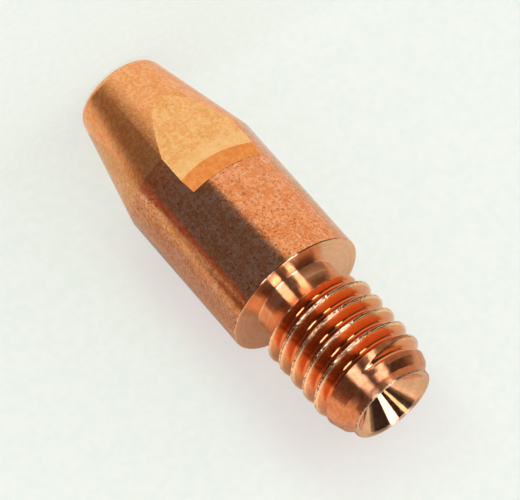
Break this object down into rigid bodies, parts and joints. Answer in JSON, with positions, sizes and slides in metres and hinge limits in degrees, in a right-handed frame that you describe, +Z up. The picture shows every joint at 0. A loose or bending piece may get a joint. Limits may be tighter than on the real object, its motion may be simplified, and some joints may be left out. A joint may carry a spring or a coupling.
{
  "type": "welding contact tip",
  "caption": "Copper contact tip for gas-shielded wire welding: threaded stem with funnel wire entry, round body with two spanner flats and a tapered nose.",
  "frame": {"origin": "on the ground plane, at the middle of the nose's flat end, on which the tip stands", "axes": "+Z up along the tip's axis from the nose to the thread end, -Y square to the front spanner flat, +X completes the right-handed frame"},
  "size_m": [0.01, 0.01, 0.03],
  "materials": {
    "copper": "bare copper, fine satin on the body, bright on the stem and thread"
  },
  "bodies": {
    "root": {"contact_tip": "copper"}
  },
  "joints": []
}
